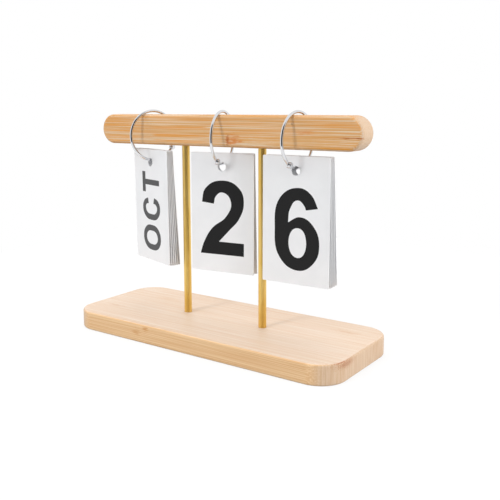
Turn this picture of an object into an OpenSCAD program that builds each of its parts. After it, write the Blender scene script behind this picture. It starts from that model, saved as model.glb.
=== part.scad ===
// Perpetual desk calendar: a bamboo bar on two brass posts over a bamboo base board.
// Three hinged snap rings hang on the bar and carry the month, tens and units leaves.
// X runs along the bar, -Y is the front, Z is up, and the origin is the middle of the base's underside.

/* [Base board] */
// Length of the base board, left to right
base_l = 200; // [170:1:240]
// Depth of the base board, front to back
base_w = 80; // [60:1:110]
// Thickness of the base board
base_h = 12.5; // [10:0.5:18]
// Radius of the base board's corners in plan
base_corner_r = 17; // [8:1:26]
// Radius of the eased rim, top and bottom
base_edge_r = 1.3; // [0.6:0.1:2.5]

/* [Top bar] */
// Length of the bar over its round ends
bar_l = 200; // [180:1:230]
// Height of the bar; its ends are full half rounds of this height
bar_h = 20; // [18:0.5:21]
// Thickness of the bar, front to back
bar_t = 14; // [12:0.5:15]
// Radius of the eased edges round the bar's two faces
bar_edge_r = 2; // [1.5:0.1:2.5]
// Height of the bar's underside above the table
bar_under = 125; // [118:1:140]

/* [Posts] */
// Diameter of the brass posts
post_d = 5; // [4:0.1:5.6]
// Distance between the axes of the two posts
post_spacing = 60; // [58:0.5:60]
// Depth of the blind post holes in the base board
post_hole_base = 8; // [5:0.5:9]
// Depth of the blind post holes in the bar
post_hole_bar = 10; // [6:0.5:14]
// Radial glue gap round a post in its holes
post_glue_gap = 0.05; // [0.02:0.01:0.1]
// Chamfer on both ends of a post
post_chamfer = 0.5; // [0.3:0.1:0.8]

/* [Rings] */
// Outside diameter of a closed ring
ring_od = 35; // [34.6:0.1:36]
// Diameter of the ring wire
wire_d = 1.9; // [1.8:0.05:2]
// Gap between a ring and the bar's edges that it hangs on
ring_seat_gap = 0.1; // [0.05:0.01:0.2]
// Diameter of the hinge knuckle
knuckle_d = 3.7; // [3.5:0.1:3.8]
// Width of the forked side of the knuckle
fork_w = 2.5; // [2.3:0.1:2.7]
// Clearance of the fork's slot round the tongue's disc
slot_clear = 0.3; // [0.2:0.05:0.4]
// Bare length of neck between the slot and the gate's round wire
neck_bare = 0.1; // [0.05:0.05:0.2]
// Thickness of the tongue between the fork's ears
tongue_t = 0.9; // [0.8:0.05:1]
// Running gap on each side of the tongue
tongue_gap = 0.05; // [0.03:0.01:0.08]
// Diameter of the rivet's shank
rivet_d = 1.2; // [1:0.05:1.3]
// Radial running gap of the rivet in the tongue
rivet_gap = 0.04; // [0.02:0.01:0.08]
// Diameter of the rivet's heads
rivet_head_d = 2.2; // [2:0.1:2.4]
// Height of the rivet's domed heads
rivet_head_h = 0.4; // [0.3:0.05:0.5]
// Diameter of the snap nib at its root
nib_d = 0.9; // [0.7:0.05:1]
// Length of the snap nib
nib_l = 1.2; // [0.8:0.1:1.6]
// Radial gap round the nib in its socket
nib_gap = 0.1; // [0.06:0.01:0.15]
// Gap between the two end faces at the snap
snap_gap = 0.08; // [0.04:0.01:0.12]

/* [Leaves] */
// Width of a leaf
leaf_w = 45; // [40:0.5:45]
// Height of a leaf
leaf_h = 77; // [60:0.5:90]
// Thickness of a leaf
leaf_t = 0.45; // [0.3:0.05:0.5]
// Radius of a leaf's corners
leaf_corner_r = 0.6; // [0.3:0.1:3]
// Diameter of the punched hole
leaf_hole_d = 5.7; // [5.5:0.1:6]
// Distance from a leaf's top edge to the middle of its hole
leaf_hole_drop = 8.9; // [8:0.1:9.6]
// Gap between the top of the hole and the wire that it hangs on
leaf_hang_gap = 0.12; // [0.08:0.01:0.2]

/* [Month ring] */
// Place of the month ring along the bar
month_x = -58.4; // [-62:0.1:-58]
// Turn of the month ring about the vertical
month_yaw = -20.5; // [-24:0.5:-14]
// Place of its hinge round the ring, from the lowest point towards the front
month_hinge = -60; // [-75:1:-45]
// Turn of the month leaves about the vertical
month_leaf_yaw = -19; // [-22:0.5:-14]
// Forward place of the front month leaf on the wire
month_front = 2.6; // [2:0.1:3]
// Distance between neighbouring month leaves at their holes
month_pitch = 0.9; // [0.85:0.05:1]
// Forward lean of the front month leaf
month_lean = -0.6; // [-1.5:0.1:1]
// Change of lean from one month leaf to the next
month_fan = 0.55; // [0.3:0.05:0.8]

/* [Tens ring] */
// Place of the tens ring along the bar
tens_x = 0; // [-2:0.1:2]
// Turn of the tens ring about the vertical
tens_yaw = 11; // [4:0.5:14]
// Place of its hinge round the ring, from the lowest point towards the front
tens_hinge = 28; // [26:1:40]
// Turn of the tens leaves about the vertical
tens_leaf_yaw = 8.5; // [4:0.5:12]
// Forward place of the front tens leaf on the wire
tens_front = 1.2; // [0.8:0.1:1.6]
// Distance between neighbouring tens leaves at their holes
tens_pitch = 2; // [1.2:0.1:2.6]
// Forward lean of the front tens leaf
tens_lean = 0.3; // [0:0.1:1]
// Change of lean from one tens leaf to the next
tens_fan = 2.5; // [1:0.1:3]

/* [Units ring] */
// Place of the units ring along the bar
units_x = 54.8; // [54.8:0.1:58]
// Turn of the units ring about the vertical
units_yaw = -3; // [-6:0.5:0]
// Place of its hinge round the ring, from the lowest point towards the front
units_hinge = 30; // [30:1:40]
// Turn of the units leaves about the vertical
units_leaf_yaw = 2; // [0:0.5:3]
// Forward place of the front units leaf on the wire
units_front = 2.3; // [1.8:0.1:2.6]
// Distance between neighbouring units leaves at their holes
units_pitch = 1.15; // [1:0.05:1.25]
// Sideways place of the units holes on the wire
units_side = 0.4; // [0.3:0.1:0.6]
// Forward lean of the front units leaf
units_lean = 0.4; // [0:0.1:1]
// Change of lean from one units leaf to the next
units_fan = 1.15; // [0.5:0.05:1.4]

/* [Hidden] */
$fn = 96;
bamboo = "burlywood";
bar_bamboo = "peru";
brass = "goldenrod";
steel = "silver";
card = "whitesmoke";
// Overlap of pieces of one solid that are joined face to face
weld = 0.2;

bar_top = bar_under + bar_h;
post_foot = base_h - post_hole_base;
post_head = bar_under + post_hole_bar;

wire_r = wire_d / 2;
ring_r = (ring_od - wire_d) / 2;
knuckle_r = knuckle_d / 2;
slot_w = tongue_t + 2 * tongue_gap;
slot_r = knuckle_r + slot_clear;
// The gate's round wire starts here, clear of the fork's ears
neck_l = slot_r + neck_bare;
neck_angle = 2 * asin(neck_l / (2 * ring_r));
snap_angle = asin(snap_gap / 2 / ring_r);

// A stack holds its ring's place, yaw and hinge angle, then its leaves' yaw, the front leaf's
// forward and sideways places on the wire, the pitch, the front leaf's lean and the fan.
month = [month_x, month_yaw, month_hinge, month_leaf_yaw, month_front, 0, month_pitch, month_lean, month_fan];
tens = [tens_x, tens_yaw, tens_hinge, tens_leaf_yaw, tens_front, 0, tens_pitch, tens_lean, tens_fan];
units = [
    units_x, units_yaw, units_hinge, units_leaf_yaw,
    units_front, units_side, units_pitch, units_lean, units_fan
];

function ring_x(s) = s[0];
function ring_yaw(s) = s[1];
function hinge_at(s) = s[2];
function leaf_yaw(s) = s[3];
// Forward place of leaf i on its ring, counted from 0 at the front, and the wire's slope there
function leaf_fore(s, i) = s[4] - i * s[6];
function wire_slope(s, i) = asin(leaf_fore(s, i) / ring_r);
function leaf_side(s) = s[5];
function leaf_lean(s, i) = s[7] - i * s[8];

// Half the bar's flat top, as wide as a ring that stands at this yaw meets it
function seat_half_w(yaw) = (bar_t / 2 - bar_edge_r) / cos(yaw) + wire_r * tan(abs(yaw));
// Radius from a ring's centre to the centres of the bar's eased edges, when the ring hangs on them
seat_r = ring_r - wire_r - bar_edge_r - ring_seat_gap;
function ring_z(s) = bar_top - bar_edge_r - sqrt(pow(seat_r, 2) - pow(seat_half_w(ring_yaw(s)), 2));

// The wire sits this far above the middle of the hole
function wire_rise(s) =
    sqrt(pow((leaf_hole_d - wire_d) / 2 - leaf_hang_gap, 2) - pow(leaf_side(s), 2));
// Height of leaf i's hole below the ring's centre
function hole_z(s, i) =
    wire_r * (1 / cos(wire_slope(s, i)) - 1) + leaf_t / 2 * tan(abs(wire_slope(s, i)))
    - ring_r * cos(wire_slope(s, i)) - wire_rise(s);

// Section through a board: l wide, t high, both long edges eased to radius r
module eased_section(l, t, r) {
    translate([-l / 2 + r, 0]) square([l - 2 * r, t]);
    translate([-l / 2, r]) square([l, t - 2 * r]);
    for (x = [-1, 1], y = [r, t - r])
        translate([x * (l / 2 - r), y]) circle(r);
}

// Outer half of that section, from the axis of a round corner out to its rim
module eased_half_section(l, t, r) {
    square([l - r, t]);
    translate([0, r]) square([l, t - 2 * r]);
    for (y = [r, t - r])
        translate([l - r, y]) circle(r);
}

// Flat board with round corners in plan and eased rims, standing on Z = 0
module eased_board(l, w, t, corner, edge) {
    rotate([90, 0, 90])
        translate([0, 0, -l / 2 + corner])
            linear_extrude(l - 2 * corner) eased_section(w, t, edge);
    if (w > 2 * corner)
        rotate([90, 0, 0])
            translate([0, 0, -w / 2 + corner])
                linear_extrude(w - 2 * corner) eased_section(l, t, edge);
    for (x = [-1, 1], y = [-1, 1])
        translate([x * (l / 2 - corner), y * (w / 2 - corner), 0])
            rotate([0, 0, x > 0 ? (y > 0 ? 0 : -90) : (y > 0 ? 90 : 180)])
                rotate_extrude(angle = 90) eased_half_section(corner, t, edge);
}

// Blind holes for the two posts, from height z up to z + depth
module post_holes(z, depth) {
    for (side = [-1, 1])
        translate([side * post_spacing / 2, 0, z])
            cylinder(d = post_d + 2 * post_glue_gap, h = depth);
}

module base_board() {
    color(bamboo)
        difference() {
            eased_board(base_l, base_w, base_h, base_corner_r, base_edge_r);
            post_holes(post_foot, post_hole_base + weld);
        }
}

module top_bar() {
    color(bar_bamboo)
        difference() {
            translate([0, bar_t / 2, bar_under + bar_h / 2])
                rotate([90, 0, 0])
                    eased_board(bar_l, bar_h, bar_t, bar_h / 2, bar_edge_r);
            post_holes(bar_under - weld, post_hole_bar + weld);
        }
}

// Post that bottoms in both blind holes; side is -1 on the left and 1 on the right
module post(side) {
    color(brass)
        translate([side * post_spacing / 2, 0, post_foot])
            rotate_extrude()
                polygon([
                    [0, 0],
                    [post_d / 2 - post_chamfer, 0],
                    [post_d / 2, post_chamfer],
                    [post_d / 2, post_head - post_foot - post_chamfer],
                    [post_d / 2 - post_chamfer, post_head - post_foot],
                    [0, post_head - post_foot]
                ]);
}

// Puts a ring piece on the bar. A ring piece is drawn round the origin in the YZ plane with its
// hinge lowest, the half that carries the leaves behind and the gate in front; a hinge at the
// back of the bar turns that round, so that the leaves' half always passes below the bar.
module on_bar(s) {
    translate([ring_x(s), 0, ring_z(s)])
        rotate([0, 0, ring_yaw(s)])
            rotate([-hinge_at(s), 0, 0])
                mirror([0, hinge_at(s) < 0 ? 1 : 0, 0])
                    children();
}

// Stretch of round wire from angle a to angle b, counted from the lowest point towards +Y
module wire_arc(a, b) {
    rotate([0, 90, 0])
        rotate([0, 0, a])
            rotate_extrude(angle = b - a)
                translate([ring_r, 0]) circle(wire_r);
}

// Disc of the knuckle round the rivet's axis, w wide
module knuckle_disc(d, w) {
    translate([-w / 2, 0, -ring_r])
        rotate([0, 90, 0]) cylinder(d = d, h = w);
}

// Half of the ring that carries the leaves: forked knuckle at one end, snap socket at the other
module ring_half(s) {
    color(steel)
        on_bar(s)
            difference() {
                union() {
                    wire_arc(0, 180 - snap_angle);
                    knuckle_disc(knuckle_d, fork_w);
                }
                knuckle_disc(2 * slot_r, slot_w);
                knuckle_disc(rivet_d, fork_w + weld);
                translate([0, snap_gap / 2 - weld, ring_r])
                    rotate([-90, 0, 0])
                        cylinder(d = nib_d + 2 * nib_gap, h = nib_l + 2 * weld);
            }
}

// Half that opens: tongue at the knuckle, snap nib at the free end
module ring_gate(s) {
    color(steel)
        on_bar(s) {
            wire_arc(-180 + snap_angle, -neck_angle);
            difference() {
                union() {
                    knuckle_disc(knuckle_d, tongue_t);
                    intersection() {
                        wire_arc(-neck_angle - weld, 0);
                        translate([-tongue_t / 2, -ring_r, -2 * ring_r])
                            cube([tongue_t, ring_r, 2 * ring_r]);
                    }
                }
                knuckle_disc(rivet_d + 2 * rivet_gap, fork_w);
            }
            translate([0, -snap_gap / 2 - weld, ring_r])
                rotate([-90, 0, 0])
                    cylinder(d1 = nib_d, d2 = nib_d * 0.7, h = nib_l + weld);
        }
}

// Rivet through the fork and the tongue, with a domed head on each side
module ring_rivet(s) {
    color(steel)
        on_bar(s)
            translate([0, 0, -ring_r])
                rotate([0, 90, 0])
                    rotate_extrude() {
                        translate([0, -fork_w / 2]) square([rivet_d / 2, fork_w]);
                        for (side = [-1, 1]) rivet_head_outline(side);
                    }
}

// Half outline of a domed head standing on the fork's side face
module rivet_head_outline(side) {
    dome_r = (pow(rivet_head_d / 2, 2) + pow(rivet_head_h, 2)) / (2 * rivet_head_h);
    intersection() {
        translate([0, side * (fork_w / 2 + rivet_head_h - dome_r)]) circle(dome_r);
        translate([0, side > 0 ? fork_w / 2 : -fork_w / 2 - rivet_head_h])
            square([rivet_head_d / 2, rivet_head_h]);
    }
}

// Outline of a leaf round the middle of its hole
module leaf_outline() {
    top = leaf_hole_drop;
    c = leaf_corner_r;
    difference() {
        union() {
            translate([-leaf_w / 2 + c, top - leaf_h]) square([leaf_w - 2 * c, leaf_h]);
            translate([-leaf_w / 2, top - leaf_h + c]) square([leaf_w, leaf_h - 2 * c]);
            for (x = [-1, 1], y = [top - leaf_h + c, top - c])
                translate([x * (leaf_w / 2 - c), y]) circle(c);
        }
        circle(d = leaf_hole_d);
    }
}

// Leaf i of a stack, counted from 0 at the front, hung by its hole on the ring's wire
module leaf(s, i) {
    color(card)
        translate([ring_x(s), 0, ring_z(s)])
            rotate([0, 0, ring_yaw(s)])
                translate([leaf_side(s), -leaf_fore(s, i), hole_z(s, i)])
                    rotate([0, 0, leaf_yaw(s) - ring_yaw(s)])
                        rotate([90 - leaf_lean(s, i), 0, 0])
                            linear_extrude(leaf_t, center = true) leaf_outline();
}

base_board();
post(-1);  // left_post
post(1);  // right_post
top_bar();
ring_half(month);  // month_ring_half
ring_gate(month);  // month_ring_gate
ring_rivet(month);  // month_ring_rivet
ring_half(tens);  // tens_ring_half
ring_gate(tens);  // tens_ring_gate
ring_rivet(tens);  // tens_ring_rivet
ring_half(units);  // units_ring_half
ring_gate(units);  // units_ring_gate
ring_rivet(units);  // units_ring_rivet
leaf(month, 0);  // month_leaf_1
leaf(month, 1);  // month_leaf_2
leaf(month, 2);  // month_leaf_3
leaf(month, 3);  // month_leaf_4
leaf(month, 4);  // month_leaf_5
leaf(month, 5);  // month_leaf_6
leaf(tens, 0);  // tens_leaf_1
leaf(tens, 1);  // tens_leaf_2
leaf(units, 0);  // units_leaf_1
leaf(units, 1);  // units_leaf_2
leaf(units, 2);  // units_leaf_3
leaf(units, 3);  // units_leaf_4
leaf(units, 4);  // units_leaf_5
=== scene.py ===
# %% [markdown]
# # A perpetual desk calendar
# The calendar is a bamboo bar on two brass posts over a bamboo base board. Three hinged
# snap rings hang round the bar and carry the month, tens and units leaves. The solid model
# is loaded first as a fixed frame, and every piece below is modelled round it in the same
# place, in metres, with X along the bar, -Y to the front and Z up.

# %% Load the frame
import math

import bmesh
import bpy
from mathutils import Matrix, Vector


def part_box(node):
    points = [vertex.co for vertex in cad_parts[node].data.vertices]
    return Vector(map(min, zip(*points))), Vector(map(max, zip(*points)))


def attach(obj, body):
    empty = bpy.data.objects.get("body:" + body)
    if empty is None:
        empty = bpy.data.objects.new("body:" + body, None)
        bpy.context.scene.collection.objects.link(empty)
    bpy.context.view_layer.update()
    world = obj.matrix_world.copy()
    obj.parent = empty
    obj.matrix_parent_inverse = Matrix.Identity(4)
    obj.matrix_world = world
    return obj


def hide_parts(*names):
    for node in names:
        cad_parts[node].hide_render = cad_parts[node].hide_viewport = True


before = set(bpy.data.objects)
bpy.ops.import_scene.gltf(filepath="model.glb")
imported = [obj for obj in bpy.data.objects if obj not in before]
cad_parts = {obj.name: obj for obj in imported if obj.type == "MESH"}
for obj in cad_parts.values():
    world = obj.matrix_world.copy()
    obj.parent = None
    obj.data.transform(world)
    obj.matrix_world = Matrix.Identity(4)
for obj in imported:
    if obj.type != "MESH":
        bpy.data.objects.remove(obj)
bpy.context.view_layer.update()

MM = 0.001

# %% [markdown]
# ## Sizes
# A maker's drawing has few numbers, and the rest follows from them. The board, the bar and
# the posts are plain lengths. Each ring stands at its own turn on the bar, and each leaf hangs
# a little behind the one in front, so a stack needs only its first place and its steps.
# In `STACKS`, x is a ring's place along the bar, yaw its turn, and hinge the angle from its
# lowest point to its hinge. Front, side, leaf_yaw and lean are the first leaf's reach before
# the ring's middle, its shift to the side, its turn and its lean. Pitch and fan are the steps
# in reach and lean from each leaf to the next.

# %% Sizes of the stand, the rings and the leaves, in mm
BASE = dict(length=200, width=80, height=12.5, corner=17, rim=1.3)
BAR = dict(length=200, width=20, height=14, corner=10, rim=2)
BAR_UNDER = 125
BAR_TOP = BAR_UNDER + BAR["width"]
POST_D, POST_SPACING, POST_FOOT, POST_HEAD = 5, 60, 4.5, 135
POST_HOLE_D, POST_CHAMFER, DRILL_OVER = 5.1, 0.5, 7.5
RING_R, WIRE_R = 16.55, 0.95
KNUCKLE_D, FORK_W, TONGUE_T = 3.7, 2.5, 0.9
SLOT_W, SLOT_R = 1.0, 2.15
RIVET_D, RIVET_HOLE_D, RIVET_HEAD_D = 1.2, 1.28, 2.2
NIB_D, NIB_L, SOCKET_D, SNAP_GAP = 0.9, 1.2, 1.1, 0.08
FORK_EASE, TONGUE_EASE, END_EASE, LEAF_EASE = 0.22, 0.1, 0.12, 0.05
LEAF_W, LEAF_H, LEAF_T, LEAF_CORNER = 45, 77, 0.45, 0.6
HOLE_D, HOLE_DROP = 5.7, 8.9
SEAT_GAP, HANG_GAP = 0.1, 0.12

STACKS = {
    "month": dict(leaves=6, x=-58.4, yaw=-20.5, hinge=-60, leaf_yaw=-19, front=2.6, side=0,
                  pitch=0.9, lean=-0.6, fan=0.55),
    "tens": dict(leaves=2, x=0, yaw=11, hinge=28, leaf_yaw=8.5, front=1.2, side=0,
                 pitch=2, lean=0.3, fan=2.5),
    "units": dict(leaves=5, x=54.8, yaw=-3, hinge=30, leaf_yaw=2, front=2.3, side=0.4,
                  pitch=1.15, lean=0.4, fan=1.15),
}
print("leaves to hang:", sum(s["leaves"] for s in STACKS.values()))

# %% [markdown]
# ## Where a ring and its leaves hang
# A closed ring rests on the two eased upper edges of the bar, so its height follows from the
# bar's width and the ring's turn. A leaf rests with the top of its punched hole on the lowest
# stretch of wire. Both places are worked out here once, as matrices, so that a piece can be
# modelled flat on the bench and moved into place in one go.

# %% Matrices that put a ring or a leaf in its place
def moved(x, y, z):
    return Matrix.Translation((x * MM, y * MM, z * MM))


def turned(degrees, axis):
    return Matrix.Rotation(math.radians(degrees), 4, axis)


def ring_height(stack):
    yaw = math.radians(abs(stack["yaw"]))
    half_flat = (BAR["height"] / 2 - BAR["rim"]) / math.cos(yaw) + WIRE_R * math.tan(yaw)
    reach = RING_R - WIRE_R - BAR["rim"] - SEAT_GAP
    return BAR_TOP - BAR["rim"] - math.sqrt(reach**2 - half_flat**2)


def ring_place(stack):
    flip = Matrix.Scale(-1, 4, (0, 1, 0)) if stack["hinge"] < 0 else Matrix()
    return (moved(stack["x"], 0, ring_height(stack)) @ turned(stack["yaw"], "Z")
            @ turned(-stack["hinge"], "X") @ flip)


def leaf_place(stack, number):
    fore = stack["front"] - number * stack["pitch"]
    lean = stack["lean"] - number * stack["fan"]
    slope = math.asin(fore / RING_R)
    rise = math.sqrt((HOLE_D / 2 - WIRE_R - HANG_GAP) ** 2 - stack["side"] ** 2)
    drop = (WIRE_R * (1 / math.cos(slope) - 1) + LEAF_T / 2 * math.tan(abs(slope))
            - RING_R * math.cos(slope) - rise)
    return (moved(stack["x"], 0, ring_height(stack)) @ turned(stack["yaw"], "Z")
            @ moved(stack["side"], -fore, drop)
            @ turned(stack["leaf_yaw"] - stack["yaw"], "Z") @ turned(90 - lean, "X"))


print("ring heights, mm:", {n: round(ring_height(s), 2) for n, s in STACKS.items()})

# %% [markdown]
# ## Bench tools
# By hand, a piece is added, some of its edges or faces are picked, and an operator is run on
# them. The helpers below do the same picking by place or normal, because an operator acts on
# all that is selected and the frame arrives selected.

# %% Picking and bevelling
def clear_bench():
    if bpy.context.object and bpy.context.object.mode != "OBJECT":
        bpy.ops.object.mode_set(mode="OBJECT")
    bpy.ops.object.select_all(action="DESELECT")


def work_on(piece):
    clear_bench()
    piece.select_set(True)
    bpy.context.view_layer.objects.active = piece


def pick(kind, test):
    """Selects the verts, edges or faces of the piece in edit mode that pass the test."""
    bpy.ops.mesh.select_mode(type={"verts": "VERT", "edges": "EDGE", "faces": "FACE"}[kind])
    bpy.ops.mesh.select_all(action="DESELECT")
    mesh = bmesh.from_edit_mesh(bpy.context.object.data)
    chosen = [part for part in getattr(mesh, kind) if test(part)]
    for part in chosen:
        part.select_set(True)
    bmesh.update_edit_mesh(bpy.context.object.data)


def is_rim(edge):
    return len(edge.link_faces) == 2 and edge.calc_face_angle() > math.radians(50)


def bevel_picked(size, segments):
    """Bevels the picked edges by a size in mm and leaves edit mode."""
    bpy.ops.mesh.bevel(offset=size * MM, segments=segments, affect="EDGES")
    bpy.ops.object.mode_set(mode="OBJECT")


print("picking helpers ready")

# %% [markdown]
# ## Blanks, cuts and joints
# Rods, knuckles, drills and punches are all round blanks. A hole could be bridged by hand, but
# on a curved wire a boolean is surer: the tool is a solid of its own, it is set in place, and
# it is taken away or welded on exactly. Every blank gets its place in its mesh at once.

# %% Round blanks and booleans
def apply_place(piece):
    work_on(piece)
    bpy.ops.object.transform_apply(location=True, rotation=True, scale=True)


def boolean(piece, tool, operation):
    """Cuts, or joins, another solid into the piece and puts the tool away."""
    work_on(piece)
    step = piece.modifiers.new(operation.title(), "BOOLEAN")
    step.operation, step.object, step.solver = operation, tool, "EXACT"
    bpy.ops.object.modifier_apply(modifier=step.name)
    bpy.data.objects.remove(tool, do_unlink=True)


def disc(name, diameter, thickness, axis="Z", centre=(0, 0, 0), sides=64):
    """A round blank or cutter, its thickness along the axis."""
    clear_bench()
    lay = {"Z": (0, 0, 0), "X": (0, math.pi / 2, 0), "Y": (math.pi / 2, 0, 0)}[axis]
    bpy.ops.mesh.primitive_cylinder_add(
        vertices=sides, radius=diameter / 2 * MM, depth=thickness * MM,
        location=[c * MM for c in centre], rotation=lay)
    piece = bpy.context.object
    piece.name = name
    apply_place(piece)
    return piece


print("blank helpers ready")

# %% [markdown]
# ## Last touches
# A piece that is shaped gets its shading, is copied where the object has more than one of it,
# and takes over from its solid. The boxes of both are compared, since a piece that doesn't fit
# its solid would look right and move wrong.

# %% Shading, copies and hand-over
def smooth(piece, degrees=35):
    """Smooth shading up to a sharp angle, with the flat faces keeping their true normals."""
    work_on(piece)
    bpy.ops.object.shade_smooth_by_angle(angle=math.radians(degrees))
    step = piece.modifiers.new("Even", "WEIGHTED_NORMAL")
    step.keep_sharp = True
    bpy.ops.object.modifier_apply(modifier=step.name)


def copy_to(piece, name, place):
    """A copy with its own mesh, moved to its place; a mirrored one gets its faces turned out."""
    twin = piece.copy()
    twin.data = piece.data.copy()
    twin.name = twin.data.name = name
    bpy.context.collection.objects.link(twin)
    twin.data.transform(place)
    if place.determinant() < 0:
        work_on(twin)
        bpy.ops.object.mode_set(mode="EDIT")
        bpy.ops.mesh.select_all(action="SELECT")
        bpy.ops.mesh.flip_normals()
        bpy.ops.object.mode_set(mode="OBJECT")
    return twin


def hand_over(piece, body, node, finish=None):
    """The piece rides on its body and stands for its solid; prints how far the boxes differ."""
    if finish:
        piece.data.materials.clear()
        piece.data.materials.append(finish)
    low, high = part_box(node)
    corners = [v.co for v in piece.data.vertices]
    off = max(abs(f(c[i] for c in corners) - b[i])
              for f, b in ((min, low), (max, high)) for i in range(3))
    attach(piece, body)
    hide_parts(node)
    print(f"{piece.name}: {len(piece.data.polygons)} faces, within {off / MM:.2f} mm of its solid")


print("bench ready")

# %% [markdown]
# ## Finishes: small node helpers
# Wood, brass, steel and paper are all painted by nodes on Object coordinates. Since every
# piece keeps its place in its mesh, those coordinates are millimetres on the real object once
# they are multiplied by 1000, and a pattern can be given at the size that it has in the hand.

# %% Helpers that lay out nodes
class Nodes:
    """Adds and links nodes in one tree, with their places taken care of."""

    def __init__(self, tree):
        self.tree, self.count = tree, 0

    def add(self, kind, **settings):
        node = self.tree.nodes.new("ShaderNode" + kind)
        self.count += 1
        node.location = (-220 * (self.count % 7 + 1), -260 * (self.count // 7))
        for key, value in settings.items():
            setattr(node, key, value)
        return node

    def link(self, source, target):
        if isinstance(source, (int, float, tuple)):
            target.default_value = source
        else:
            self.tree.links.new(source, target)

    def axis(self, vector, name):
        node = self.add("SeparateXYZ")
        self.link(vector, node.inputs["Vector"])
        return node.outputs[name]

    def math(self, operation, a, b=0.0, c=0.0):
        node = self.add("Math", operation=operation)
        for value, socket in zip((a, b, c), node.inputs):
            self.link(value, socket)
        return node.outputs["Value"]

    def band(self, value, low, high, start=0.0, end=1.0):
        """Runs smoothly from start to end while the value goes from low to high."""
        node = self.add("MapRange", interpolation_type="SMOOTHSTEP")
        self.link(value, node.inputs["Value"])
        for key, number in (("From Min", low), ("From Max", high), ("To Min", start), ("To Max", end)):
            node.inputs[key].default_value = number
        return node.outputs["Result"]

    def mix(self, fac, a, b):
        """Colour a where the factor is 0 and colour b where it is 1."""
        node = self.add("Mix", data_type="RGBA")
        for value, socket in zip((fac, a, b), (node.inputs["Factor"], *node.inputs[6:8])):
            self.link(value, socket)
        return node.outputs[2]

    def mix_shaders(self, fac, a, b):
        node = self.add("MixShader")
        for value, socket in zip((fac, a, b), node.inputs):
            self.link(value, socket)
        return node.outputs["Shader"]


print("node helpers ready")

# %% A finish under construction
class Finish(Nodes):
    """A material painted on Object coordinates."""

    def __init__(self, name):
        self.material = bpy.data.materials.new(name)
        self.material.use_nodes = True
        super().__init__(self.material.node_tree)
        self.shader = self.tree.nodes["Principled BSDF"]
        self.where = self.add("TexCoord").outputs["Object"]

    def stretch(self, size, move=(0, 0, 0)):
        """Object coordinates in which one unit is `size` mm along X, Y and Z."""
        node = self.add("Mapping")
        node.inputs["Scale"].default_value = [1 / (MM * s) for s in size]
        node.inputs["Location"].default_value = move
        self.link(self.where, node.inputs["Vector"])
        return node.outputs["Vector"]

    def noise(self, vector, detail, roughness=0.55):
        node = self.add("TexNoise")
        self.link(vector, node.inputs["Vector"])
        for key, value in (("Scale", 1), ("Detail", detail), ("Roughness", roughness)):
            node.inputs[key].default_value = value
        return node.outputs["Fac"]

    def bump(self, height, depth, strength):
        """Raises the surface by `depth` mm where the height is 1."""
        node = self.add("Bump")
        for key, value in (("Strength", strength), ("Distance", depth * MM), ("Height", height)):
            self.link(value, node.inputs[key])
        return node.outputs["Normal"]

    def done(self, **sockets):
        for key, value in sockets.items():
            self.link(value, self.shader.inputs[key.replace("_", " ")])
        return self.material


def paint(red, green, blue):
    """A colour as a paint chip gives it, 0 to 255, for a shader."""
    def linear(c):
        c /= 255
        return c / 12.92 if c <= 0.04045 else ((c + 0.055) / 1.055) ** 2.4
    return (linear(red), linear(green), linear(blue), 1)


print("finish helpers ready")

# %% [markdown]
# ## Bamboo
# Bamboo board is glued up from split strips. Its grain is a crowd of thin parallel fibres,
# a third of a millimetre across and some centimetres long, with darker streaks among them.
# The planed faces and the sawn edges each have their own pair of colours, and cut ends show
# upright saw lines and fine specks. On the base board the faces' pair is paler and greyer than
# the edges': partly the paler face strips, and partly painted light, the sheen and the extra
# light that the top catches. A picture of real bamboo would show a seam at every rim, so
# the pattern is solid: noise stretched along X gives the fibres, and the surface's own
# direction says which side of the board it is. The few brown marks, where a strip crosses one
# of the cane's joints, are placed one by one.
# One small dark dot on the bar, just under the units ring's wire, is no joint but painted shadow where
# that ring's shadow begins.

# %% Patterns in the wood
PATTERNS = {
    "fibres": ((60, 0.3, 0.3), (0, 0, 0)),
    "threads": ((90, 1.2, 1.2), (3, 7, 1)),
    "drift": ((70, 14, 6), (5, 2, 3)),
    "streaks": ((60, 0.28, 0.28), (2, 9, 4)),
    "saw lines": ((0.35, 0.35, 20), (0, 0, 0)),
    "specks": ((0.9, 0.55, 0.45), (1, 4, 6)),
    "dashes": ((5, 0.4, 0.4), (8, 2, 5)),
}


def pattern(wood, name, detail, roughness=0.55):
    """Noise at the pattern's size in mm, moved so that no two patterns run together."""
    return wood.noise(wood.stretch(*PATTERNS[name]), detail, roughness)


def facing(wood, name):
    """How squarely the surface looks along an axis, from 0 to 1."""
    normal = wood.add("NewGeometry").outputs["Normal"]
    return wood.math("ABSOLUTE", wood.axis(normal, name))


print("wood patterns:", *PATTERNS)

# %% Long grain, cut ends, the cane's joints and one painted shadow
def long_grain(wood, fibres, flat, face, edge, streak, contrast):
    """Face and edge are (pale, deep) pairs, streak is (strength, colour)."""
    threads = pattern(wood, "threads", 2)
    tone = wood.math("MULTIPLY_ADD", threads, 0.25, wood.math("MULTIPLY", fibres, 0.75))
    tone = wood.band(tone, 0.5 - contrast, 0.5 + contrast)
    colour = wood.mix(flat, wood.mix(tone, *edge), wood.mix(tone, *face))
    drift = wood.band(pattern(wood, "drift", 2), 0.3, 0.7, 0.0, 0.3)
    colour = wood.mix(drift, colour, wood.mix(flat, edge[1], face[1]))
    lines = wood.band(pattern(wood, "streaks", 0), 0.54, 0.6, 0.0, streak[0])
    return wood.mix(lines, colour, streak[1])


def cut_ends(wood, colour, endward, ends):
    """Saw lines in a pair of colours, where the surface looks along the fibres."""
    cut = wood.mix(wood.band(pattern(wood, "saw lines", 2), 0.35, 0.65), *ends)
    return wood.mix(wood.band(endward, 0.08, 0.7, 0.0, 0.88), colour, cut)


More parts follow.
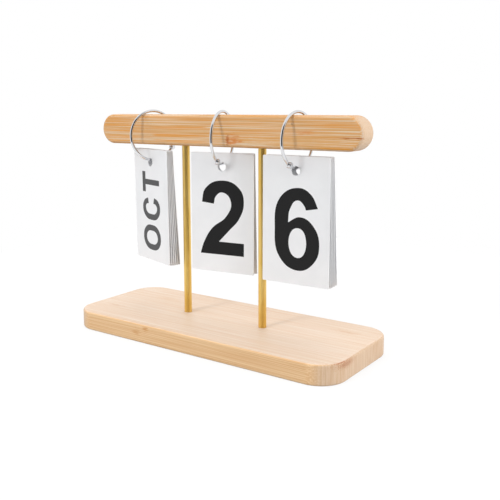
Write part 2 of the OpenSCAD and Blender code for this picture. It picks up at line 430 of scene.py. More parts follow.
def joint_and_shadow_mark(wood, dashes, flat, centre, half, depth, side):
    """A mark with ragged ends at a centre, in mm; on the side "edge" it stays off the top."""
    spot = wood.add("Mapping")
    spot.inputs["Location"].default_value = [-c / h for c, h in zip(centre, half)]
    spot.inputs["Scale"].default_value = [1 / (MM * h) for h in half]
    wood.link(wood.where, spot.inputs["Vector"])
    far = wood.add("VectorMath", operation="LENGTH")
    wood.link(spot.outputs["Vector"], far.inputs[0])
    ragged = wood.math("MULTIPLY_ADD", dashes, 3.0, far.outputs["Value"])
    amount = wood.band(ragged, 1.7, 2.3, depth, 0.0)
    return wood.math("MULTIPLY", amount, wood.math("SUBTRACT", 1.0, flat)) if side == "edge" else amount


print("wood helpers ready")

# %% Bamboo for the base board and for the bar
def bamboo(name, face, edge, ends, streak, marks, contrast):
    """Face, edge and ends are (pale, deep) pairs; marks are (centre, half sizes, depth, colour, side)."""
    wood = Finish(name)
    fibres = pattern(wood, "fibres", 1, 0.5)
    # flat is 1 where the surface looks up or down and takes the face pair; on the base that pair also
    # paints the top's sheen and extra light
    flat, endward = wood.band(facing(wood, "Z"), 0.7, 0.95), facing(wood, "X")
    colour = long_grain(wood, fibres, flat, face, edge, streak, contrast)
    colour = cut_ends(wood, colour, endward, ends)
    specks = wood.math("MULTIPLY", wood.band(pattern(wood, "specks", 2), 0.6, 0.7),
                       wood.band(endward, 0.5, 0.95, 0.1, 0.3))
    colour = wood.mix(specks, colour, streak[1])
    dashes = pattern(wood, "dashes", 2)
    for centre, half, depth, stain_and_shade, side in marks:
        colour = wood.mix(joint_and_shadow_mark(wood, dashes, flat, centre, half, depth, side), colour, stain_and_shade)
    relief = wood.math("SUBTRACT", fibres, wood.math("MULTIPLY", specks, 0.8))
    return wood.done(Base_Color=colour, Roughness=wood.math("MULTIPLY_ADD", fibres, 0.16, 0.4),
                     IOR=1.45, Normal=wood.bump(relief, 0.03, 0.5))


# The base's face pair is paler and greyer than its edge pair: partly the paler face strips, partly
# painted light, the sheen and extra light on the top.
base_bamboo = bamboo(
    "bamboo_base", contrast=0.14,
    face=(paint(237, 220, 204), paint(225, 199, 173)),
    edge=(paint(246, 212, 168), paint(226, 182, 132)),
    ends=(paint(205, 183, 160), paint(187, 155, 126)),
    streak=(0.3, paint(214, 158, 104)),
    marks=[((-81, -17, 12.5), (11, 3, 3), 0.5, paint(216, 178, 146), "both"),
           ((-62, 16, 12.5), (16, 4, 3), 0.35, paint(220, 180, 140), "both"),
           ((78, 21, 12.5), (12, 3.5, 3), 0.6, paint(214, 174, 134), "both"),
           ((99, -22, 10.4), (8, 13, 3.4), 0.8, paint(166, 112, 76), "edge"),
           ((98, -27, 12.2), (9, 9, 0.8), 0.95, paint(158, 88, 50), "edge"),
           ((-33, -40, 10), (3.6, 2, 2.6), 0.7, paint(212, 148, 84), "edge"),
           ((-41, -40, 6.4), (5, 2, 3), 0.6, paint(210, 150, 92), "edge")])
bar_bamboo = bamboo(
    "bamboo_bar", contrast=0.09,
    face=(paint(228, 196, 160), paint(212, 160, 104)),
    edge=(paint(229, 207, 177), paint(213, 157, 90)),
    ends=(paint(210, 189, 167), paint(197, 168, 138)),
    streak=(0.85, paint(226, 150, 56)),
    marks=[((55, -7, 129.5), (60, 3, 4.5), 0.3, paint(222, 164, 80), "both"),
           ((9, -7, 129.5), (2.2, 3, 4.4), 0.9, paint(168, 88, 34), "both"),
           ((14, -7, 129.5), (7, 3, 4), 0.8, paint(216, 126, 48), "both"),
           # painted shadow: a dark dot just under the units ring's wire at the bar's top front rim, where
           # its cast shadow starts
           ((55, -7, 139.7), (1.0, 1.5, 0.8), 0.85, paint(120, 66, 30), "both"),
           ((64, -7, 135.5), (10, 3, 2.2), 0.5, paint(220, 138, 66), "both"),
           ((94, -7, 132.5), (16, 3, 0.7), 0.9, paint(176, 100, 44), "both")])
print("bamboo finishes:", base_bamboo.name, bar_bamboo.name)

# %% [markdown]
# ## Brass, steel, card and ink
# The posts are drawn brass rod, brushed round and round, so their roughness changes in fine
# hoops. The rings are nickel-plated steel wire, bright, with a few hairline scuffs. The leaves
# are smooth white card with a faint tooth. The figures are flat black ink, and the months are
# printed in a softer grey.

# %% Brass, steel, card and ink
def brass_finish():
    brass = Finish("brass_satin")
    hoops = brass.noise(brass.stretch((2.5, 2.5, 0.16)), detail=3, roughness=0.7)
    cloud = brass.noise(brass.stretch((4, 4, 16)), detail=2)
    colour = brass.mix(brass.band(cloud, 0.35, 0.65), paint(241, 207, 124), paint(234, 195, 104))
    rough = brass.math("MULTIPLY_ADD", hoops, 0.08, 0.4)
    return brass.done(Base_Color=colour, Metallic=1.0, Roughness=rough,
                      Normal=brass.bump(hoops, 0.001, 0.3))


def steel_finish():
    steel = Finish("steel_bright")
    scuffs = steel.noise(steel.stretch((0.25, 0.9, 0.9)), detail=4, roughness=0.75)
    haze = steel.noise(steel.stretch((3, 3, 3)), detail=2)
    rough = steel.math("ADD", steel.band(scuffs, 0.6, 0.85, 0.02, 0.1),
                       steel.band(haze, 0.4, 0.7, 0.0, 0.03))
    colour = steel.mix(haze, paint(228, 228, 230), paint(214, 215, 218))
    return steel.done(Base_Color=colour, Metallic=1.0, Roughness=rough,
                      Normal=steel.bump(scuffs, 0.002, 0.3))


def card_finish():
    card = Finish("card_white")
    tooth = card.noise(card.stretch((0.25, 0.25, 0.25)), detail=4, roughness=0.7)
    cloud = card.noise(card.stretch((18, 18, 18)), detail=3)
    colour = card.mix(card.band(cloud, 0.3, 0.7), paint(241, 242, 244), paint(237, 238, 240))
    return card.done(Base_Color=colour, IOR=1.46,
                     Roughness=card.math("MULTIPLY_ADD", tooth, 0.12, 0.5),
                     Normal=card.bump(tooth, 0.008, 0.4))


def ink_finish(name, dark, light):
    ink = Finish(name)
    tooth = ink.noise(ink.stretch((0.3, 0.3, 0.3)), detail=3)
    return ink.done(Base_Color=ink.mix(ink.band(tooth, 0.3, 0.75), dark, light), IOR=1.3,
                    Roughness=ink.math("MULTIPLY_ADD", tooth, 0.15, 0.5))


post_brass, ring_steel, leaf_card = brass_finish(), steel_finish(), card_finish()
figure_ink = ink_finish("ink_black", paint(22, 22, 23), paint(34, 34, 35))
month_ink = ink_finish("ink_grey", paint(78, 78, 79), paint(92, 92, 93))
print("metal and paper finishes:", [m.name for m in (post_brass, ring_steel, leaf_card, figure_ink)])

# %% [markdown]
# ## Base board and bar
# Both are boards with round corners and eased rims; the bar is one stood on edge, with corners
# so large that its ends are half rounds. Bevelling a box's upright edges can't make a full half
# round, so a round blank is pulled apart instead: its four quarters move out to the four
# corners, and the rims are then eased with one bevel.

# %% A board with round corners
def round_board(name, length, width, height, corner, rim, sides=96):
    clear_bench()
    bpy.ops.mesh.primitive_cylinder_add(vertices=sides, radius=corner * MM, depth=height * MM,
                                        rotation=(0, 0, math.pi / sides))
    board = bpy.context.object
    board.name = name
    apply_place(board)
    bpy.ops.object.mode_set(mode="EDIT")
    for axis, pull in ((0, length / 2 - corner), (1, width / 2 - corner)):
        for way in (-1, 1):
            pick("verts", lambda v: way * v.co[axis] > 0)
            bpy.ops.transform.translate(value=[way * pull * MM * (i == axis) for i in range(3)])
    pick("edges", is_rim)
    bevel_picked(rim, 6)
    return board


def drill_post_holes(board, low, high):
    """Two blind holes; the drill reaches from low to high, in mm above the table."""
    for side in (-1, 1):
        boolean(board, disc("drill", POST_HOLE_D, high - low,
                            centre=(side * POST_SPACING / 2, 0, (low + high) / 2)), "DIFFERENCE")


board = round_board("bamboo_base", **BASE)
board.location.z = BASE["height"] / 2 * MM
apply_place(board)
drill_post_holes(board, POST_FOOT, BASE["height"] + DRILL_OVER)
smooth(board)
hand_over(board, "stand", "base_board", base_bamboo)

bar = round_board("bamboo_bar", **BAR)
bar.rotation_euler.x = math.pi / 2
bar.location.z = (BAR_UNDER + BAR["width"] / 2) * MM
apply_place(bar)
drill_post_holes(bar, BAR_UNDER - DRILL_OVER, POST_HEAD)
smooth(bar)
hand_over(bar, "stand", "top_bar", bar_bamboo)

# %% [markdown]
# ## Posts
# Two lengths of brass rod, glued into blind holes at both ends. A rod is turned on a lathe and
# its ends are chamfered so that it starts easily in its hole, so a round blank with bevelled
# ends is all that it needs; its life comes from the brushed finish.

# %% Two posts from one rod
rod = disc("rod", POST_D, POST_HEAD - POST_FOOT, centre=(0, 0, (POST_HEAD + POST_FOOT) / 2))
bpy.ops.object.mode_set(mode="EDIT")
pick("edges", is_rim)
bevel_picked(POST_CHAMFER, 2)
smooth(rod)
for side, word in ((-1, "left"), (1, "right")):
    post = copy_to(rod, f"brass_post_{word}", moved(side * POST_SPACING / 2, 0, 0))
    hand_over(post, "stand", f"{word}_post", post_brass)
bpy.data.objects.remove(rod, do_unlink=True)

# %% [markdown]
# ## Hinged snap rings
# A loose-leaf ring is two half rounds of wire. At the hinge one end is pressed into a fork and
# the other into a flat tongue, with a rivet through both; at the other side a small nib snaps
# into a socket. A half could be a curve with a round bevel, but a circle spun round the ring's
# middle gives loops of vertices at known angles, and the wire is swaged by resizing some of
# them. The ring is drawn in the YZ plane with its hinge lowest.

# %% A stretch of wire, spun from a circle
STEPS, WIRE_SIDES = 120, 24


def wire_arc(name, start, end):
    """Wire from one angle to another, counted from the lowest point towards +Y.

    Spin turns the other way round from a rotation matrix, so its angle is start minus end.
    """
    clear_bench()
    bpy.ops.mesh.primitive_circle_add(vertices=WIRE_SIDES, radius=WIRE_R * MM,
                                      location=(0, 0, -RING_R * MM), rotation=(math.pi / 2, 0, 0))
    wire = bpy.context.object
    wire.name = name
    apply_place(wire)
    wire.data.transform(turned(start, "X"))
    bpy.ops.object.mode_set(mode="EDIT")
    bpy.ops.mesh.select_all(action="SELECT")
    bpy.ops.mesh.spin(steps=STEPS, angle=math.radians(start - end), center=(0, 0, 0), axis=(1, 0, 0))
    bpy.ops.mesh.select_all(action="SELECT")
    bpy.ops.mesh.remove_doubles(threshold=1e-7)
    bpy.ops.mesh.fill_holes(sides=0)
    bpy.ops.mesh.select_all(action="SELECT")
    bpy.ops.mesh.normals_make_consistent(inside=False)
    bpy.ops.object.mode_set(mode="OBJECT")
    return wire


def arc_angle(point):
    """Angle of a point round the ring, from the lowest point towards +Y."""
    return math.degrees(math.atan2(point.y, -point.z))


def swage(wire, start, end, shape):
    """Resizes the wire's loops; shape gives width and height at a distance from the hinge, in mm."""
    work_on(wire)
    bpy.ops.object.mode_set(mode="EDIT")
    for i in range(STEPS + 1):
        at = start + (end - start) * i / STEPS
        away = RING_R * math.radians(abs(at))
        wide, high = shape(away)
        if (wide, high) == (1, 1):
            continue
        pick("verts", lambda v: abs(arc_angle(v.co) - at) < abs(end - start) / STEPS / 3)
        centre = turned(at, "X") @ Vector((0, 0, -RING_R * MM))
        bpy.ops.transform.resize(value=(wide, high, high), center_override=centre)
    bpy.ops.object.mode_set(mode="OBJECT")


def soften_end(wire, angle):
    """Breaks the sharp edge of the wire's end face."""
    work_on(wire)
    bpy.ops.object.mode_set(mode="EDIT")
    pick("edges", lambda e: is_rim(e) and all(
        abs(abs(arc_angle(v.co)) - abs(angle)) < 0.2 for v in e.verts))
    bevel_picked(END_EASE, 2)


snap_angle = math.degrees(math.asin(SNAP_GAP / 2 / RING_R))
HINGE, SNAP = (0, 0, -RING_R), (0, 0, RING_R)
print("snap face at", round(180 - snap_angle, 3), "degrees")

# %% [markdown]
# ## The half with the fork
# The fork is a round knuckle with a slot sawn through it. The knuckle is a short round bar
# joined to the wire, the slot a wider disc taken out again, which is how the saw leaves it. The
# rivet's hole goes through both ears, and a drilled socket waits for the nib at the far end.

# %% The half with the fork and the socket
SWELL_L, SWELL_WIDE, SWELL_HIGH = 3.4, 0.32, 0.25


def fork_swell(away):
    """The wire thickens as it runs into the fork."""
    near = max(0.0, 1 - away / SWELL_L)
    return (1 + SWELL_WIDE * near, 1 + SWELL_HIGH * near) if near else (1, 1)


half = wire_arc("half", 0, 180 - snap_angle)
swage(half, 0, 180 - snap_angle, fork_swell)
soften_end(half, 180 - snap_angle)
fork = disc("fork", KNUCKLE_D, FORK_W, "X", HINGE, 48)
bpy.ops.object.mode_set(mode="EDIT")
pick("edges", is_rim)
bevel_picked(FORK_EASE, 3)
boolean(half, fork, "UNION")
boolean(half, disc("slot", 2 * SLOT_R, SLOT_W, "X", HINGE), "DIFFERENCE")
boolean(half, disc("bore", RIVET_D, 2 * FORK_W, "X", HINGE, 32), "DIFFERENCE")
boolean(half, disc("socket", SOCKET_D, NIB_L + 0.4, "Y", (0, NIB_L / 2, RING_R), 32), "DIFFERENCE")
smooth(half, 40)
print("fork half:", len(half.data.polygons), "faces")

# %% [markdown]
# ## The gate
# The half that opens ends in a flat tongue, which turns between the fork's ears, and in a nib
# with a tapered tip, which finds the socket by itself. Both are short round bars joined to the
# wire, and the wire is pressed flat where it runs in between the ears.

# %% The gate with the tongue and the nib
PRESS_FROM, PRESS_L, PRESS_HIGH = 2.0, 1.5, 0.12
NIB_ROOT, NIB_TAPER = 0.1, 0.7


def tongue_press(away):
    """The wire is pressed flat between the fork's ears and is round again just outside."""
    rise = min(1.0, max(0.0, (away - PRESS_FROM) / PRESS_L))
    rise = rise * rise * (3 - 2 * rise)
    flat = TONGUE_T / (2 * WIRE_R)
    return (flat + (1 - flat) * rise, 1 + PRESS_HIGH * (1 - rise)) if rise < 1 else (1, 1)


gate = wire_arc("gate", -180 + snap_angle, 0)
swage(gate, -180 + snap_angle, 0, tongue_press)
soften_end(gate, -180 + snap_angle)
tongue = disc("tongue", KNUCKLE_D, TONGUE_T, "X", HINGE, 48)
bpy.ops.object.mode_set(mode="EDIT")
pick("edges", is_rim)
bevel_picked(TONGUE_EASE, 2)
boolean(gate, tongue, "UNION")
boolean(gate, disc("bore", RIVET_HOLE_D, 2 * FORK_W, "X", HINGE, 32), "DIFFERENCE")
nib = disc("nib", NIB_D, NIB_L + 2 * NIB_ROOT, "Y",
           (0, NIB_L / 2 - NIB_ROOT - SNAP_GAP / 2, RING_R), 32)
bpy.ops.object.mode_set(mode="EDIT")
pick("verts", lambda v: v.co.y > NIB_L / 2 * MM)
bpy.ops.transform.resize(value=(NIB_TAPER, 1, NIB_TAPER), center_override=[c * MM for c in SNAP])
pick("edges", lambda e: is_rim(e) and all(v.co.y > NIB_L / 2 * MM for v in e.verts))
bevel_picked(END_EASE, 3)
boolean(gate, nib, "UNION")
smooth(gate, 40)
print("gate:", len(gate.data.polygons), "faces")

# %% [markdown]
# ## The rivet
# A rivet starts as a plain pin, and a hammer spreads both ends to heads. Here each end face is
# extruded and resized five times, out to the head's full width and then in over its dome, the
# way a lathe hand would step a profile.

# %% The rivet with its two domed heads
DOME = [(0, RIVET_HEAD_D), (0.12, RIVET_HEAD_D), (0.14, 1.86), (0.09, 1.3), (0.05, 0.6)]
rivet = disc("rivet", RIVET_D, FORK_W, "X", HINGE, 32)
bpy.ops.object.mode_set(mode="EDIT")
axis_point = [c * MM for c in HINGE]
for way in (-1, 1):
    pick("faces", lambda f: way * f.normal.x > 0.9 and way * f.calc_center_median().x > 0)
    width = RIVET_D
    for rise, wider in DOME:
        bpy.ops.mesh.extrude_region_move(TRANSFORM_OT_translate={"value": (way * rise * MM, 0, 0)})
        bpy.ops.transform.resize(value=(1, wider / width, wider / width), center_override=axis_point)
        width = wider
bpy.ops.mesh.select_all(action="SELECT")
bpy.ops.mesh.normals_make_consistent(inside=False)
bpy.ops.object.mode_set(mode="OBJECT")
smooth(rivet, 50)
print("rivet:", len(rivet.data.polygons), "faces, heads", round(sum(r for r, w in DOME), 2), "mm high")

# %% [markdown]
# ## Three rings on the bar
# All three rings are alike, so the one on the bench is copied, each copy with its own mesh, and
# moved to its place. The month ring hangs the other way round, so its copy is mirrored.

# %% Three rings from the one that was modelled
for name, stack in STACKS.items():
    for part, body, model in (("half", "ring", half), ("gate", "gate", gate), ("rivet", "ring", rivet)):
        piece = copy_to(model, f"{name}_clasp_{part}", ring_place(stack))
        hand_over(piece, f"{name}_{body}", f"{name}_ring_{part}", ring_steel)
for spare in (half, gate, rivet):
    bpy.data.objects.remove(spare, do_unlink=True)

# %% [markdown]
# ## Leaves
# A leaf is a sheet of stiff card with slightly round corners and one punched hole. It is a
# thin box whose four corners are bevelled. The hole is cut before the last small bevel, so
# that the punch's edge gets the same soft rim as the guillotined sides. It lies flat, with X to
# the right, Y up and its front towards +Z, and its hole's middle at the origin.

# %% One leaf of card
clear_bench()
bpy.ops.mesh.primitive_cube_add(size=1, location=(0, (HOLE_DROP - LEAF_H / 2) * MM, 0),
                                scale=(LEAF_W * MM, LEAF_H * MM, LEAF_T * MM))
leaf = bpy.context.object
leaf.name = "leaf"
apply_place(leaf)
bpy.ops.object.mode_set(mode="EDIT")
pick("edges", lambda e: abs(e.verts[0].co.z - e.verts[1].co.z) > LEAF_T / 2 * MM)
bevel_picked(LEAF_CORNER, 5)
boolean(leaf, disc("punch", HOLE_D, 4, sides=72), "DIFFERENCE")
work_on(leaf)
bpy.ops.object.mode_set(mode="EDIT")
pick("edges", is_rim)
bevel_picked(LEAF_EASE, 2)
smooth(leaf)
leaf.data.materials.append(leaf_card)
print("leaf:", len(leaf.data.polygons), "faces")

# %% [markdown]
# ## Figures and letters
# The figures are bold and slightly condensed. Each one is drawn as an outline of listed
# points: a bare point is a corner, and a point after ~ is on a smooth bend, whose handles
# Blender sets. A slash starts the next contour, and a contour inside another is a hole. All are
# drawn 49 high on a common baseline, so one scale suits a word or a figure. A filled flat curve
# a fiftieth of a millimetre thick becomes the ink, and a quarter of that lies in the card.

# %% Outlines, 49 units high
SHAPES = {
    "0": "~0,24.5 ~4,42.5 ~15,49.1 ~26,42.5 ~30,24.5 ~26,6 ~15,-0.6 ~4,6"
         " / ~9.6,24.5 ~10.8,36.5 ~15,41.5 ~19.2,36.5 ~20.4,24.5 ~19.2,12 ~15,7.1 ~10.8,12",
    "1": "12,0 21.2,0 21.2,49 13.8,49 ~9.5,42.5 2.5,37.5 2.5,29.5 ~8.5,32.2 12,35",
    "2": "1.15,33.7 ~3.9,42.6 ~16.65,47.95 ~28.3,43.2 ~31.4,34.7 ~28.3,24.4 ~20.8,15.95"
         " 13.5,8.4 31.4,8.3 31.4,0 0,0 ~2.65,7.6 ~8.9,17.2 ~18.9,25.1 ~22.3,34.4 ~16.4,40.3"
         " ~11.4,37.6 10,32.8",
    "3": "1,36.2 ~4.5,44.5 ~14.8,49.1 ~25,45.2 ~28.5,36.5 ~26.5,30 21.5,25.8 ~28.2,21.5"
         " ~30.5,14.5 ~26.2,3.8 ~14.8,-0.8 ~4.2,3.2 0,13 9,14.2 ~10.8,8.9 ~14.9,7 ~19.6,9.2"
         " ~21,14.6 ~18.6,20 10.6,21 11.6,28.6 ~17.4,30.1 ~19.4,35.4 ~18.2,40 ~14.6,41.7"
         " ~11,40.2 9.6,34.9",
    "4": "17.5,0 26.3,0 26.3,9.8 31.5,9.8 31.5,18 26.3,18 26.3,49 18.6,49 0,18.2 0,9.8 17.5,9.8"
         " / 17.5,18 17.5,34.6 8,18",
    "5": "5.5,48.4 28,48.4 28,40 12.5,40 11.2,32.6 ~16,33.9 ~26.2,29.5 ~30.5,17 ~26,4.6"
         " ~14.8,-0.8 ~4.5,2.9 0.2,12.6 9.5,13.6 ~11.3,8.7 ~15,7 ~19.5,9.6 ~21,16.6 ~19.4,23.3"
         " ~14.8,25.6 8.4,21.8 0.9,22.9",
    "6": "28.9,37.5 ~24.2,45.6 ~15.9,49.1 ~3.5,42.6 ~0,23.9 ~3.5,6.3 ~15.7,-0.6 ~26,4.5"
         " ~30,15.3 ~26,27 ~17.3,31.8 9.1,28.1 ~10.4,36.3 ~15.2,41.6 ~19.8,38.8 21,36.1"
         " / ~9.5,16.3 ~15.7,25.1 ~21.4,16.3 ~15.7,7.1",
    "7": "0.8,48.4 30.8,48.4 30.8,41.6 ~24.5,32.8 ~19.2,20 17,0 7.6,0 ~10.5,19 20.5,39.9 0.8,39.9",
    "8": "~15,49.1 ~25.3,45.5 ~28.6,36.6 ~26.8,30.3 22.8,26.3 ~28.4,21.6 ~30.6,13.9 ~26.5,3.6"
         " ~15.2,-0.8 ~4,3.2 ~0,13.6 ~2,21.4 7.4,26 ~3.4,30 ~1.7,36.3 ~5,45.6"
         " / ~15,42 ~18.8,40.3 ~20,35.9 ~18.8,31.4 ~15.1,29.7 ~11.5,31.3 ~10.3,35.8 ~11.4,40.3"
         " / ~15.1,22.6 ~19.8,20.2 ~21.3,14.3 ~19.9,8.6 ~15.3,6.3 ~10.8,8.5 ~9.2,14.5 ~10.6,20.2",
    "A": "0,0 9,0 12,11.2 23.6,11.2 26.6,0 36,0 22.8,49 13.2,49 / 14.1,19.4 17.9,34.5 21.6,19.4",
    "B": "0,0 18,0 ~28,3.4 ~31.2,13.6 ~29,21.5 23,25.9 ~28,29.5 ~29.6,36.4 ~26.6,45.2 17,49 0,49"
         " / 8.6,8.4 16.5,8.4 ~21,9.8 ~22.4,14.4 ~20.8,19.3 16,20.8 8.6,20.8"
         " / 8.6,29 15.5,29 ~19.7,30.5 ~21,34.8 ~19.6,39.3 15.2,40.6 8.6,40.6",
    "C": "32.3,34 ~28,44.5 ~17.8,49.8 ~5,43.5 ~0,24.5 ~5,5.5 ~17.8,-0.8 ~28.5,4 33,15.8"
         " 24.7,18.3 ~22.7,10.8 ~17.7,8 ~11,12 ~8.7,24.7 ~11,37 ~17.9,41 ~22.3,38.8 24,32.2",
    "D": "0,0 15,0 ~28,4.5 ~33.5,24.5 ~28,44.5 15,49 0,49"
         " / 8.6,8.8 14,8.8 ~22.3,12 ~24.7,24.5 ~22.3,37 14,40.2 8.6,40.2",
    "E": "0,0 29,0 29,8.8 8.6,8.8 8.6,20.6 26.5,20.6 26.5,29 8.6,29 8.6,40.4 28.2,40.4 28.2,49 0,49",
    "F": "0,0 8.6,0 8.6,20 25,20 25,28.6 8.6,28.6 8.6,40.4 27,40.4 27,49 0,49",
    "G": "19.6,26.8 35,26.8 35,6.6 ~29,1.6 ~19,-0.8 ~5.4,5.2 ~0,24.8 ~5,43.6 ~18.6,49.8"
         " ~29.6,45.6 34.2,34.6 25.8,32.6 ~23.4,38.8 ~18.6,41 ~11.2,37 ~8.7,24.9 ~11.4,12.2"
         " ~19,8 ~23.4,8.9 26.7,11.3 26.7,18.4 19.6,18.4",
    "J": "16.4,49 25,49 25,16 ~22.5,4 ~12,-0.8 ~2.5,3.6 0,15.4 8.2,16.4 ~9.2,9.8 ~12.2,8"
         " ~15.6,9.8 16.4,16.5",
    "L": "0,0 27,0 27,8.8 8.6,8.8 8.6,49 0,49",
    "M": "0,0 7.9,0 7.9,37 16.2,0 24,0 32.4,37 32.4,0 40.3,0 40.3,49 27.9,49 20.2,16 12.6,49 0,49",
    "N": "0,0 8.2,0 8.2,32 24,0 33,0 33,49 24.8,49 24.8,17.5 9,49 0,49",
    "O": "~0,24.5 ~5,43.2 ~18.6,49.8 ~32.3,43.2 ~37.3,24.5 ~32.3,5.8 ~18.6,-0.8 ~5,5.8"
         " / ~8.6,24.5 ~11.4,36.8 ~18.6,40.7 ~25.9,36.8 ~28.7,24.5 ~25.9,12.2 ~18.6,8.3 ~11.4,12.2",
    "P": "0,0 8.6,0 8.6,18 15,18 ~26.4,21.6 ~30.6,33.5 ~26.8,45 16,49 0,49"
         " / 8.6,26.4 14.5,26.4 ~20,28.4 ~21.8,33.6 ~20,38.8 14.5,40.6 8.6,40.6",
    "R": "0,0 8.6,0 8.6,20 12,20 ~16,18.4 23.6,0 33.6,0 25.2,21.4 ~30.8,27 ~31.6,35 ~28.4,45.4"
         " 18,49 0,49 / 8.6,28.2 16.6,28.2 ~21.6,29.9 ~23,34.4 ~21.4,39.2 16.4,40.6 8.6,40.6",
    "S": "0,15.2 ~4,3.6 ~15.6,-0.8 ~27.4,3.4 ~31,13.8 ~27.8,22.4 ~17,27.6 ~10.8,31 ~9.4,35.4"
         " ~11,39.6 ~15.6,41.3 ~20.4,39.6 22,34.4 30.2,34.9 ~26.4,45.8 ~15.4,49.8 ~4.8,46"
         " ~0.9,35.8 ~3.4,27.8 ~12.4,22.4 ~20.2,19.2 ~22.4,13.8 ~20.4,9.2 ~15.2,7.5 ~10.3,9.6"
         " 8.2,16.2",
    "T": "11,0 19,0 19,40 30,40 30,49 0,49 0,40 11,40",
    "U": "0,49 8.6,49 8.6,19 ~10,10.8 ~16.4,7.9 ~22.8,10.8 24.2,19 24.2,49 32.8,49 32.8,19"
         " ~29,4 ~16.4,-0.8 ~3.8,4 0,19",
    "V": "12.6,0 21.4,0 34,49 25,49 17.1,13 9,49 0,49",
    "Y": "13,0 21.6,0 21.6,20 34.6,49 25,49 17.5,29.6 9.8,49 0,49 13,20.4",
}
INK_T, LETTER_GAP = 0.02, 7.5


def contours(mark):
    """The contours of a mark as (x, y, on a bend) points; a 9 is a 6 turned round."""
    if mark == "9":
        return [[(30 - x, 48.5 - y, bend) for x, y, bend in c] for c in contours("6")]
    return [[(*map(float, p.lstrip("~").split(",")), p[0] == "~") for p in part.split()]
            for part in SHAPES[mark].split("/")]


def width_of(mark):
    return max(x for c in contours(mark) for x, y, bend in c)


print(len(SHAPES), "outlines; OCT is", sum(map(width_of, "OCT")) + 2 * LETTER_GAP, "wide")

# %% Ink from outlines
def print_word(word):
    """Ink for a word, its baseline on y = 0 and its middle on x = 0, 49 mm high."""
    drawing = bpy.data.curves.new(word, "CURVE")
    drawing.dimensions, drawing.fill_mode = "2D", "BOTH"
    drawing.extrude, drawing.resolution_u = INK_T / 2 * MM, 7
    pen = -(sum(map(width_of, word)) + LETTER_GAP * (len(word) - 1)) / 2
    for mark in word:
        for points in contours(mark):
            line = drawing.splines.new("BEZIER")
            line.bezier_points.add(len(points) - 1)
            line.use_cyclic_u = True
            for knot, (x, y, bend) in zip(line.bezier_points, points):
                knot.co = ((pen + x) * MM, y * MM, 0)
            for knot, (x, y, bend) in zip(line.bezier_points, points):
                knot.handle_left_type = knot.handle_right_type = "AUTO" if bend else "VECTOR"
        pen += width_of(mark) + LETTER_GAP
    sheet = bpy.data.objects.new(word, drawing)
    bpy.context.collection.objects.link(sheet)
    work_on(sheet)
    bpy.ops.object.convert(target="MESH")
    sheet = bpy.context.object
    bpy.ops.object.mode_set(mode="EDIT")
    bpy.ops.mesh.select_all(action="SELECT")
    bpy.ops.mesh.remove_doubles(threshold=1e-7)
    bpy.ops.mesh.normals_make_consistent(inside=False)
    bpy.ops.object.mode_set(mode="OBJECT")
    sheet.data.materials.append(month_ink if len(word) > 1 else figure_ink)
    return sheet


MONTH_SCALE, MONTH_FOOT, MONTH_MIDDLE = 23 / 49, 11.3, -33.7
FIGURE_FOOT, FIGURE_MIDDLE = -58, 0.4
OWN_PLACE = {"2": (-0.2, -56.7), "6": (1.0, -58.9)}


def lay_on_leaf(word, face):
    """Puts a word on the front (1) or back (-1) face of the flat leaf; months read upwards."""
    sheet = print_word(word)
    if len(word) > 1:
        place = (moved(MONTH_FOOT, MONTH_MIDDLE, 0) @ turned(90, "Z")
                 @ Matrix.Scale(MONTH_SCALE, 4, (1, 0, 0)) @ Matrix.Scale(MONTH_SCALE, 4, (0, 1, 0)))
    else:
        place = moved(*OWN_PLACE.get(word, (FIGURE_MIDDLE, FIGURE_FOOT)), 0)
    place = moved(0, 0, LEAF_T / 2 + INK_T / 4) @ place
    sheet.data.transform(place if face > 0 else turned(180, "Y") @ place)
    return sheet


FACES = {
    "month": [("OCT", "NOV"), ("DEC", "JAN"), ("FEB", "MAR"), ("APR", "MAY"), ("JUN", "JUL"),
              ("AUG", "SEP")],
    "tens": [("2", "3"), ("0", "1")],
    "units": [("6", "7"), ("8", "9"), ("0", "1"), ("2", "3"), ("4", "5")],
}
for name, stack in STACKS.items():
    for i, (front, back) in enumerate(FACES[name]):
        card = copy_to(leaf, f"{name}_card_{i + 1}", Matrix())
        prints = [lay_on_leaf(front, 1), lay_on_leaf(back, -1)]
        work_on(card)
        for sheet in prints:
            sheet.select_set(True)
        bpy.ops.object.join()
        card.data.transform(leaf_place(stack, i))
        hand_over(card, f"{name}_leaf_{i + 1}", f"{name}_leaf_{i + 1}")
bpy.data.objects.remove(leaf, do_unlink=True)

# %% [markdown]
# ## Floor
# The calendar stands on a plain pale floor. A white floor could be had by more light, but that
# would bleach the leaves as well. Its material glows instead for the rays that the eye or a
# mirror sends out, at a strength of about 1, and a fifth of it stays a real matt surface, which
# keeps the shadow. To the light that bounces it is grey, so that little comes back from below.

# %% A floor that is white to the eye and keeps the shadow
FLOOR_SIZE, FLOOR_ROUGH, FLOOR_SHINE = 0.7, 0.9, 0.1
FLOOR_GLOW, GLOW_SHARE = 1.04, 0.8
FLOOR_SEEN, FLOOR_BOUNCE = (0.86, 0.86, 0.86, 1), (0.25, 0.25, 0.25, 1)

clear_bench()
bpy.ops.mesh.primitive_plane_add(size=FLOOR_SIZE)
floor = bpy.context.object
floor.name = "floor"
white = Finish("floor_white")
rays = white.add("LightPath").outputs
mirrored = white.math("MAXIMUM", rays["Is Glossy Ray"], rays["Is Transmission Ray"])
looked_at = white.math("MAXIMUM", rays["Is Camera Ray"], mirrored)
glow = white.add("Emission")
glow.inputs["Strength"].default_value = FLOOR_GLOW
surface = white.mix_shaders(white.math("MULTIPLY", looked_at, GLOW_SHARE),
                            white.shader.outputs["BSDF"], glow.outputs["Emission"])
white.link(surface, white.tree.nodes["Material Output"].inputs["Surface"])
floor.data.materials.append(white.done(
    Base_Color=white.mix(rays["Is Diffuse Ray"], FLOOR_SEEN, FLOOR_BOUNCE),
    Roughness=FLOOR_ROUGH, Specular_IOR_Level=FLOOR_SHINE))
print("floor laid:", FLOOR_SIZE, "m wide")

